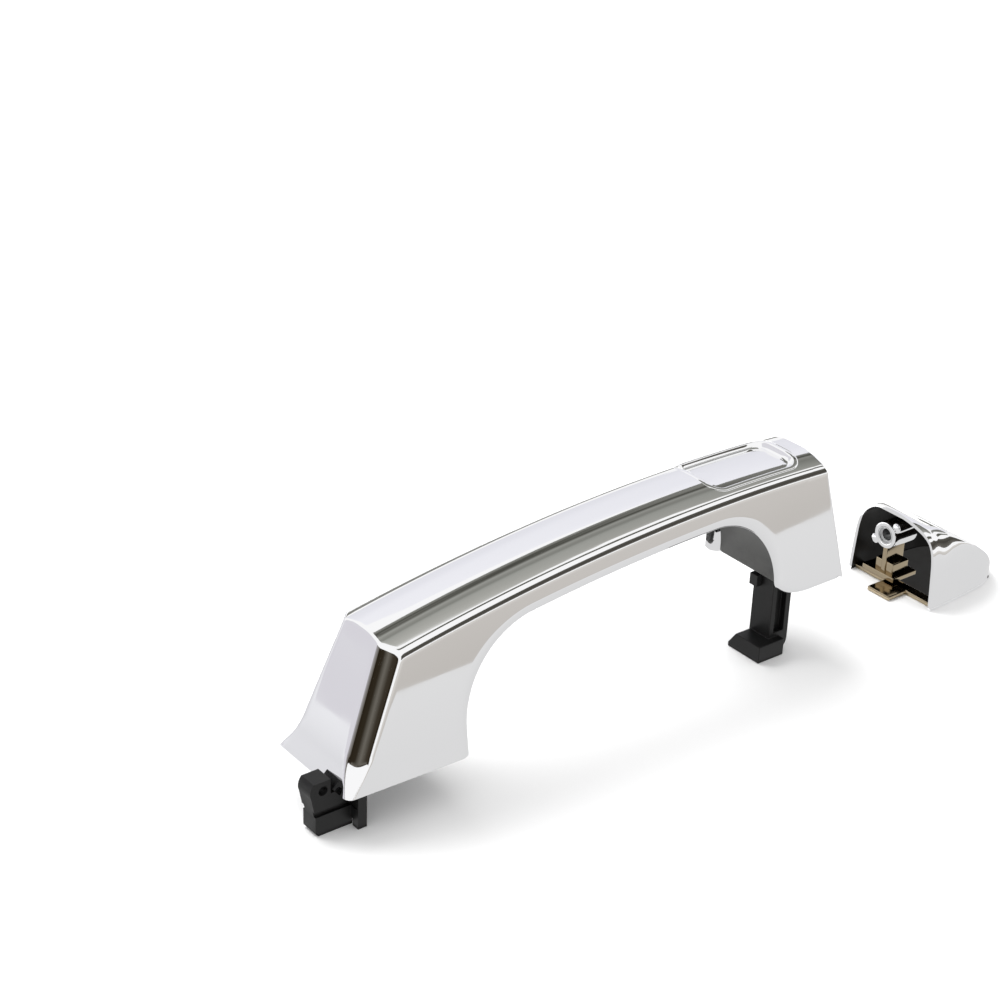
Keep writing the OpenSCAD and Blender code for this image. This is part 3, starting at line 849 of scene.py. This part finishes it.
@dataclass
class EndCap:
    """End cap: plated dome with its inside painted dark as shade, screw boss with ears, gusset, shelf and
    tongue.
    """

    form: CapForm
    wall: float = 1.7
    rows: tuple[int, int] = (56, 80)
    cols: int = 150
    boss_y: float = 5.4
    boss_h: float = 18.6
    hub: float = 17.0
    fan_half: float = 20.0
    fan_height: float = 27.0
    ray: float = 60.0
    shade_sheet_start: float = 3.0
    shade_sheet_end: float = 36.0
    shade_sheet_inset: float = 2.1
    shade_sheet_taper: float = 0.109
    shade_sheet_height: float = 0.9

    def skins(self) -> tuple[Array, Array]:
        """Outer and inner skin, stations by places across.

        Stations run from the rim along the base line and then fan about a cross line over the tail. Rays in
        each station's plane meet the rounded form.
        """
        a, b = self.rows
        x = np.r_[np.linspace(0, self.hub, a), np.full(b, self.hub)]
        fan = np.r_[np.zeros(a), np.linspace(0, math.pi / 2, b + 1)[1:]]
        t = np.linspace(-1, 1, self.cols)
        angle = math.pi / 2 * t
        across = np.sin(angle) * self.fan_half
        up = np.cos(angle) * self.fan_height + 1e-6
        lean = np.stack([np.sin(fan), np.cos(fan)], axis=-1)
        ways = np.stack([up[None, :] * lean[:, :1], np.broadcast_to(across, (len(x), self.cols)),
                         up[None, :] * lean[:, 1:]], axis=-1)
        starts = np.stack([x, np.zeros_like(x), np.zeros_like(x)], axis=-1)
        bases = np.broadcast_to(starts[:, None, :], ways.shape)
        outer = cast(self.form.distance, bases, ways, self.ray)
        inner = cast(self.form.distance, bases, ways, self.ray, -self.wall)
        return outer, inner

    def build(self) -> list[Any]:
        """Builds the cap's pieces.

        Returns:
            Dome, boss with ears, the moulded ribs and the dark sheet of painted shade across the open foot.
        """
        return [self.dome(), self.boss(), self.ribs(), self.painted_shade_sheet()]

    def painted_shade_sheet(self) -> Any:
        """Thin dark sheet across the foot of the cap, painted shade where the floor inside lies in shadow;
        its half width falls evenly from rim to tail.
        """
        rows, cols = 24, 15
        x = np.linspace(self.shade_sheet_start, self.shade_sheet_end, rows)
        half = self.form.half - self.shade_sheet_inset - (x - self.shade_sheet_start) * self.shade_sheet_taper
        t = np.linspace(-1, 1, cols)
        along = np.broadcast_to(x[:, None], (rows, cols))
        sheet = [np.stack([along, half[:, None] * t, np.full((rows, cols), h)], axis=-1)
                 for h in (0.1, self.shade_sheet_height)]
        loop = np.concatenate([sheet[1], sheet[0][:, ::-1]], axis=1)
        total = 2 * cols
        faces = grid_faces(rows, total, wrap_cols=True).tolist()
        faces += [list(range(total))[::-1], [(rows - 1) * total + k for k in range(total)]]
        return mesh_piece("cap_painted_shade_sheet", self.place(loop.reshape(-1, 3)), faces, 40)

    def place(self, points: Array) -> Array:
        """Moves points from the cap's own frame to where it lies."""
        return points + np.array([self.form.x, self.form.y, self.form.floor])

    def dome(self) -> Any:
        """Closed skin of the cap, with the inside faces in the second material, a near-black painted shade.
        """
        outer, inner = self.skins()
        rows, cols = outer.shape[:2]
        count = rows * cols
        points = self.place(np.vstack([outer.reshape(-1, 3), inner.reshape(-1, 3)]))
        shell = grid_faces(rows, cols, flip=True)
        lining = grid_faces(rows, cols, start=count)
        j = np.arange(cols - 1)
        i = np.arange(rows - 1)
        rim = np.stack([j, j + 1, count + j + 1, count + j], axis=1)
        low = (rows - 1) * cols
        tail = np.stack([low + j + 1, low + j, count + low + j, count + low + j + 1], axis=1)
        near = np.stack([(i + 1) * cols, i * cols, count + i * cols, count + (i + 1) * cols], axis=1)
        k = i * cols + cols - 1
        far = np.stack([k, k + cols, count + k + cols, count + k], axis=1)
        faces = np.vstack([shell, rim, tail, near, far, lining])
        piece = mesh_piece("cap_dome", points, faces.tolist(), 40)
        mark = np.zeros(len(faces), dtype=np.int32)
        mark[-len(lining):] = 1
        piece.data.polygons.foreach_set("material_index", mark)
        return piece

    def boss(self) -> Any:
        """Screw boss with a rolled lip, turned about its own line, and two ears of the same make."""
        profile = [(12, 4.9), (3.2, 4.9), (2.2, 5.0), (1.5, 4.95), (1.05, 4.7), (1.0, 4.3), (1.0, 3.6),
                   (1.1, 3.3), (11.0, 3.3)]
        parts = [self.turned(profile, 0.0, 0.0, 64)]
        for dy, dh in ((4.9, -3.4), (-4.2, 4.2)):
            ear = [(9, 1.9), (2.4, 1.9), (1.7, 1.75), (1.4, 1.3), (1.35, 0.0)]
            parts.append(self.turned(ear, dy, dh, 28))
        return self.joined("cap_boss", parts)

    def turned(self, profile: list[tuple[float, float]], dy: float, dh: float,
               count: int) -> tuple[Array, list[list[int]]]:
        """Turns a profile of (depth, radius) about a line along X, offset from the boss's middle."""
        a = np.linspace(0, 2 * math.pi, count, endpoint=False)
        p = np.array(profile)
        grid = np.stack([np.broadcast_to(p[:, :1], (len(p), count)),
                         self.boss_y + dy + p[:, 1:] * np.cos(a),
                         self.boss_h + dh + p[:, 1:] * np.sin(a)], axis=-1)
        faces = grid_faces(len(p), count, wrap_cols=True).tolist()
        return grid.reshape(-1, 3), faces

    def joined(self, name: str, parts: list[tuple[Array, list[list[int]]]]) -> Any:
        """Joins point and face lists into one piece in the cap's place."""
        points: list[Array] = []
        faces: list[list[int]] = []
        start = 0
        for own, rings in parts:
            points.append(own)
            faces += [[k + start for k in ring] for ring in rings]
            start += len(own)
        return mesh_piece(name, self.place(np.vstack(points)), faces, 40)

    def ribs(self) -> Any:
        """Gusset, block, shelf, tongue and cross bar as plates with softened edges."""
        plates = [((2, 4.4, 2), (11, 6.4, 14.6)), ((2.5, 1.4, 3.2), (10.5, 9.4, 8.2)),
                  ((1, -0.6, 2.2), (13, 14, 4.0)), ((-6.5, -6, 0.05), (5.5, 4, 1.6)),
                  ((2, -18.5, 0.05), (6, 18.5, 1.6))]
        parts = [rounded_plate(np.array(lo, float), np.array(hi, float), 0.35) for lo, hi in plates]
        return self.joined("cap_ribs", parts)


def rounded_plate(low: Array, high: Array, radius: float) -> tuple[Array, list[list[int]]]:
    """A box whose edges are rounded: each point of a fine box is pulled to a radius around the inner box.

    Args:
        low: lowest corner.
        high: highest corner.
        radius: edge radius.

    Returns:
        Points and faces.
    """
    inset = radius * np.array([0.3, 0.65, 1.0])
    steps = [np.unique(np.r_[lo, lo + inset, hi - inset, hi]) for lo, hi in zip(low, high)]
    points: list[Array] = []
    faces: list[list[int]] = []
    count = 0
    for axis in range(3):
        others = [k for k in range(3) if k != axis]
        for end in (0, -1):
            u, v = np.meshgrid(steps[others[0]], steps[others[1]], indexing="ij")
            side = np.zeros(u.shape + (3,))
            side[..., others[0]], side[..., others[1]], side[..., axis] = u, v, steps[axis][end]
            turned = (end == 0) != (axis == 1)
            faces += grid_faces(*u.shape, start=count, flip=turned).tolist()
            points.append(side.reshape(-1, 3))
            count += u.size
    cloud = np.vstack(points)
    core = np.clip(cloud, low + radius, high - radius)
    away = cloud - core
    size = np.linalg.norm(away, axis=1, keepdims=True)
    return core + away / np.maximum(size, 1e-9) * np.minimum(size, radius), faces


@dataclass
class Studio:
    """Pale floor, soft light, glowing cards that paint reflections into the plating, and the camera."""

    floor_z: float = -14.8
    focal: float = 2.13646

    def emitter(self, name: str, stops: list[tuple[float, str]], far_share: float = 1.0) -> Any:
        """A glowing card material for painted reflections, whose tone runs across the card's own Y from -1
        to 1.

        Args:
            name: name of the finish.
            stops: place from 0 to 1 and hex colour of each tone.
            far_share: share of the glow left at the far end of the card's own X.

        Returns:
            The material.
        """
        material, tree, place = start_material(name)
        split = add_node(tree, "ShaderNodeSeparateXYZ", None, {0: place})
        span = add_node(tree, "ShaderNodeMapRange", None, {"Value": split.outputs["Y"], "From Min": -1.0})
        fade = add_node(tree, "ShaderNodeMapRange", None,
                        {"Value": split.outputs["X"], "From Min": -1.0, "To Min": 1.0, "To Max": far_share})
        ramp = add_node(tree, "ShaderNodeValToRGB", None, {"Fac": span.outputs["Result"]})
        band = ramp.color_ramp
        while len(band.elements) < len(stops):
            band.elements.new(0.5)
        for element, (at, code) in zip(band.elements, stops):
            element.position = at
            element.color = linear(code)
        glow = add_node(tree, "ShaderNodeEmission", None,
                        {"Color": ramp.outputs["Color"], "Strength": fade.outputs["Result"]})
        end_material(tree, glow)
        return material

    def card(self, name: str, centre: Sequence[float], u: Sequence[float], v: Sequence[float],
             finish: Any) -> Any:
        """A flat glowing card that only mirror surfaces see, so it paints a reflection into them.

        Args:
            name: name of the card.
            centre: its middle, in metres.
            u: half side along its own X, in metres.
            v: half side along its own Y, in metres.
            finish: its glowing material.

        Returns:
            The card.
        """
        card = level_square(name, 1.0, 0.0, finish)
        w = np.cross(u, v)
        w = w / np.linalg.norm(w)
        card.matrix_world = placed(u, v, w, centre)
        card.visible_camera = False
        card.visible_diffuse = False
        card.visible_shadow = False
        card.visible_transmission = False
        return card

    def floor(self) -> None:
        """Large pale matt floor with a barely visible paper tooth."""
        material, tree, place = start_material("matt_white_paper")
        tooth = add_node(tree, "ShaderNodeTexNoise", None, {"Vector": place, "Scale": 900.0, "Detail": 2.0})
        bump = add_node(tree, "ShaderNodeBump", None,
                        {"Strength": 0.05, "Distance": 0.0001, "Height": tooth.outputs["Fac"]})
        shader = add_node(tree, "ShaderNodeBsdfPrincipled", None,
                          {"Base Color": linear("f6f6f6"), "Roughness": 0.9, "Specular IOR Level": 0.1,
                           "Normal": bump.outputs["Normal"]})
        end_material(tree, shader)
        level_square("floor", 6.0, self.floor_z * MM - 0.0001, material)

    def lights(self) -> None:
        """White surround and one large soft light from behind and above."""
        world = bpy.data.worlds.new("white_surround")
        bpy.context.scene.world = world
        world.use_nodes = True
        tree = world.node_tree
        tree.nodes.clear()
        glow = add_node(tree, "ShaderNodeBackground", None, {"Color": linear("ffffff"), "Strength": 1.0})
        add_node(tree, "ShaderNodeOutputWorld", None, {"Surface": glow.outputs[0]})
        data = bpy.data.lights.new("overhead_softbox", "AREA")
        data.shape = "RECTANGLE"
        data.size, data.size_y = 1.2, 0.9
        data.energy = 16.0
        lamp = add_object("overhead_softbox", data)
        way = np.array([0.12, -0.62, -0.9])
        way = way / np.linalg.norm(way)
        right = np.cross(way, [0, 0, 1])
        right /= np.linalg.norm(right)
        up = np.cross(right, way)
        at = np.array([0.1, 0.0, 0.0]) - way * 1.3
        lamp.matrix_world = placed(right, up, -way, at)
        lamp.visible_camera = False
        lamp.visible_glossy = False

    def cards(self) -> None:
        """Dark, warm and cool glowing cards, seen only by mirror surfaces, that paint the reflected bands of
        the plating.
        """
        low = self.floor_z * MM + 0.002
        # Painted reflection: dark and grey bands on a glowing card that only the plating sees.
        dark = self.emitter("painted_reflection_dark_bands", [
            (0.0, "f2f2f0"), (0.05, "babab4"), (0.12, "aeaea8"), (0.26, "a4a59f"), (0.38, "8a8b85"),
            (0.5, "92928c"), (0.63, "a2a39d"), (0.7, "777771"), (0.77, "4a4a44"), (0.83, "6e6e68"),
            (0.93, "8e8e88"), (1.0, "7c7c76")], 0.62)
        self.card("painted_reflection_dark_bands", (1.35, 0.525, 1.6), (1.4, 0.0, 0.0), (0.0, 0.475, 0.0), dark)
        # Painted reflection: a dark patch on a glowing card that only the plating sees.
        dark_patch_glow = self.emitter("painted_reflection_dark_patch", [(0.0, "6a6a62"), (0.5, "55554d"), (1.0, "6e6e66")])
        self.card("painted_reflection_dark_patch", (1.15, -0.5, 1.6), (1.2, 0.0, 0.0), (0.0, 0.2, 0.0), dark_patch_glow)
        # Painted reflection: a dark band on a glowing card that only the plating sees.
        behind = self.emitter("painted_reflection_far_dark_band", [(0.0, "6a6862"), (0.4, "45433e"), (1.0, "5d5b55")])
        self.card("painted_reflection_far_dark_band", (0.95, -1.75, 0.72), (1.3, 0.85, 0.0), (0.0, 0.0, 0.5), behind)
        # Painted reflection: dark brown tones with a paler streak, seen only in the plating.
        dark_end_glow = self.emitter("painted_reflection_dark_end", [(0.0, "241d13"), (0.42, "2e281e"), (0.5, "6b675f"),
                                          (0.58, "3a342b"), (0.8, "2a2318"), (1.0, "3d3830")])
        self.card("painted_reflection_dark_end", (-1.9, -0.95, 0.345), (0.0, 0.0, 0.36), (0.4, -0.8, 0.0), dark_end_glow)
        # Painted reflection: grey tones falling to brown, seen only in the plating.
        grey_side_glow = self.emitter("painted_reflection_grey_side", [(0.0, "b2afb2"), (0.5, "8d8a88"), (1.0, "5d584f")])
        self.card("painted_reflection_grey_side", (-2.2, 0.45, 0.345), (0.0, 0.0, 0.36), (-0.05, -0.6, 0.0), grey_side_glow)
        # Painted reflection: a warm beige band just above the floor, while the floor itself stays white.
        beige = self.emitter("painted_reflection_warm_band", [(0.0, "c4c0bb"), (0.05, "ccc8c3"), (0.1, "d5d2cd"),
                                                (1.0, "dad7d1")])
        self.card("painted_reflection_warm_band", (0.82, -0.6235, low), (0.9, -0.11, 0.0), (-0.03, -0.45, 0.0), beige)
        # Painted reflection: a pale cool tint on two cards, one upright and one level.
        lilac = self.emitter("painted_reflection_cool_upright", [(0.0, "dbd9df"), (1.0, "dfdee3")])
        self.card("painted_reflection_cool_upright", (-1.6, 1.5, 0.6), (0.6, 0.6, 0.0), (0.0, 0.0, 0.62), lilac)
        self.card("painted_reflection_cool_level", (-1.0, 1.0, low), (0.6, 0.6, 0.0), (-0.62, 0.62, 0.0), lilac)
        # Painted reflection: a low grey band, seen only in the plating.
        low_band_glow = self.emitter("painted_reflection_low_dark_band", [(0.0, "8a8a86"), (0.6, "7c7c76"), (1.0, "a4a4a0")])
        self.card("painted_reflection_low_dark_band", (1.35, 1.7, 0.07), (1.2, -0.95, 0.0), (0.0, 0.0, 0.085), low_band_glow)
        # Painted reflection: a pale cool card high up, seen only in the plating.
        pale_high_glow = self.emitter("painted_reflection_pale_high", [(0.0, "e6e6ec"), (0.5, "ededf3"), (1.0, "f5f5fa")])
        self.card("painted_reflection_pale_high", (1.75, 2.05, 1.35), (1.5, -1.2, 0.0), (-0.3, -0.35, 0.75), pale_high_glow)
        # Painted reflection: a pale card, darker at one end, seen only in the plating.
        near = self.emitter("painted_reflection_pale_end", [(0.0, "d4d4d7"), (0.6, "ebebee"), (1.0, "f2f2f5")])
        self.card("painted_reflection_pale_end", (-0.233, 0.233, low), (0.6, 0.6, 0.0), (-0.147, 0.147, 0.0), near)
        # Painted shadow in the reflections: this card lies under the handle and is darker close to it, as
        # the floor's shade would be.
        shadow_reflection_glow = self.emitter("painted_shadow_reflection_near_handle", [(0.0, "d9d9d9"), (0.25, "e6e6e6"), (0.5, "ededed"),
                                            (1.0, "f4f4f4")])
        self.card("painted_shadow_reflection_near_handle", (0.3, -0.35, low - 0.001), (1.5, 0.0, 0.0), (0.0, -0.4, 0.0), shadow_reflection_glow)

    def camera(self) -> None:
        """Camera at the solved viewpoint."""
        yaw, pitch, roll = 0.899390567, 0.465976705, 0.0368516488
        look = np.array([math.cos(pitch) * math.cos(yaw), math.cos(pitch) * math.sin(yaw), -math.sin(pitch)])
        right0 = np.array([math.sin(yaw), -math.cos(yaw), 0.0])
        up0 = np.cross(right0, look)
        right = math.cos(roll) * right0 + math.sin(roll) * up0
        up = -math.sin(roll) * right0 + math.cos(roll) * up0
        at = np.array([-273.482, -422.321, 344.036]) * MM
        data = bpy.data.cameras.new("camera")
        data.sensor_width = 36.0
        data.lens = self.focal * 36.0
        data.clip_start = 0.01
        camera = add_object("camera", data)
        camera.matrix_world = placed(right, up, -look, at)
        bpy.context.scene.camera = camera

    def build(self) -> None:
        """Sets the stage."""
        self.floor()
        self.lights()
        self.cards()
        self.camera()
        bpy.context.scene.view_settings.view_transform = "Standard"


@dataclass
class Finishes:
    """All finishes of the handle, built once."""

    made: dict[str, Any] = field(default_factory=dict)

    def build(self) -> None:
        """Builds each finish and keeps it by its record slot."""
        self.made = {
            "chrome_shell": PlatedChrome("bright_chrome_plated_shell").build(),
            "chrome_cap": PlatedChrome("bright_chrome_plated_cap", haze=0.04).build(),
            # Painted reflection: a brass tone on the ribs' chrome stands in for the warm reflections from
            # the cap's dark inside.
            "ribs_warm_reflection_tint": PlatedChrome("chrome_ribs_painted_warm_reflection", "b3a48a", 0.09).build(),
            # Painted shade: near-black brown for the hollow inside the cap and for the sheet across its
            # foot.
            "cap_painted_shade": MouldedPlastic("painted_shade_cap_hollow", "0c0906", "15100b", 0.4, 0.5, 0.00002,
                                         gloss=0.12).build(),
            "satin_liner": MouldedPlastic("satin_painted_liner", "3a3a39", "4a4a48", 0.36, 0.35,
                                          0.00002).build(),
            "black_nylon": MouldedPlastic("glass_filled_nylon_moulded", "0b0b0b", "141414", 0.42, 0.4,
                                          0.00004, gloss=0.3).build(),
            "gasket_rubber": MouldedPlastic("moulded_epdm_rubber", "0c0c0c", "151515", 0.7, 0.3,
                                            0.00003).build(),
            "screw_steel": TurnedSteel("zinc_plated_turned_steel").build(),
            "insert_steel": TurnedSteel("bright_turned_steel", "c9cacb", "e3e3e3").build(),
        }

    def dress(self, piece: Any, *slots: str) -> None:
        """Gives a piece its materials, one for each material place, and keeps the faces' places."""
        places = np.zeros(len(piece.data.polygons), dtype=np.int32)
        if len(slots) > 1:
            piece.data.polygons.foreach_get("material_index", places)
        piece.data.materials.clear()
        for name in slots:
            piece.data.materials.append(self.made[name])
        piece.data.polygons.foreach_set("material_index", places)

    def dress_node(self, node: str, name: str) -> None:
        """Gives a CAD node a material in its object's material places."""
        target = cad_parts[node]
        if not target.material_slots:
            target.data.materials.append(self.made[name])
        for place in target.material_slots:
            place.link = "OBJECT"
            place.material = self.made[name]


def settle(piece: Any, body: Body, slot: str, *nodes: str) -> None:
    """Puts a piece on its body, hides the CAD nodes it stands for, and logs it."""
    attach(piece, body.value)
    if nodes:
        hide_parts(*nodes)
    log.info("%s on %s, %d faces", piece.name, body.value, len(piece.data.polygons))


def main() -> None:
    """Builds the handle and the stage in order."""
    logging.basicConfig(level=logging.INFO, format="%(name)s: %(message)s", stream=sys.stdout)
    finishes = Finishes()
    finishes.build()
    Studio().build()
    form = StrapForm()
    for piece in StrapShell(form).build():
        finishes.dress(piece, "chrome_shell")
        settle(piece, Body.STRAP, "chrome_shell", "outer_shell")
    liner = GripLiner(form).build()
    finishes.dress(liner, "satin_liner")
    settle(liner, Body.STRAP, "satin_liner", "grip_liner")
    for node, name in (("pivot_hook", "hook_moulding"), ("pull_leg", "leg_moulding")):
        piece = SoftenedCopy(node, name, 0.35).build()
        finishes.dress(piece, "black_nylon")
        settle(piece, Body.STRAP, "black_nylon", node)
    dome, boss, ribs, shade_sheet = EndCap(CapForm()).build()
    finishes.dress(dome, "chrome_cap", "cap_painted_shade")
    finishes.dress(boss, "chrome_cap")
    finishes.dress(ribs, "ribs_warm_reflection_tint")
    # The dark sheet across the cap's foot is painted shade.
    finishes.dress(shade_sheet, "cap_painted_shade")
    for piece in (dome, boss, ribs, shade_sheet):
        settle(piece, Body.CAP, "chrome_cap", "cap_shell")
    for node, name in (("front_gasket", "gasket_rubber"), ("leg_bumper", "gasket_rubber"),
                       ("foot_screws", "screw_steel"), ("cap_screw_insert", "insert_steel")):
        finishes.dress_node(node, name)
        log.info("%s carried over", node)


if __name__ == "__main__":
    main()
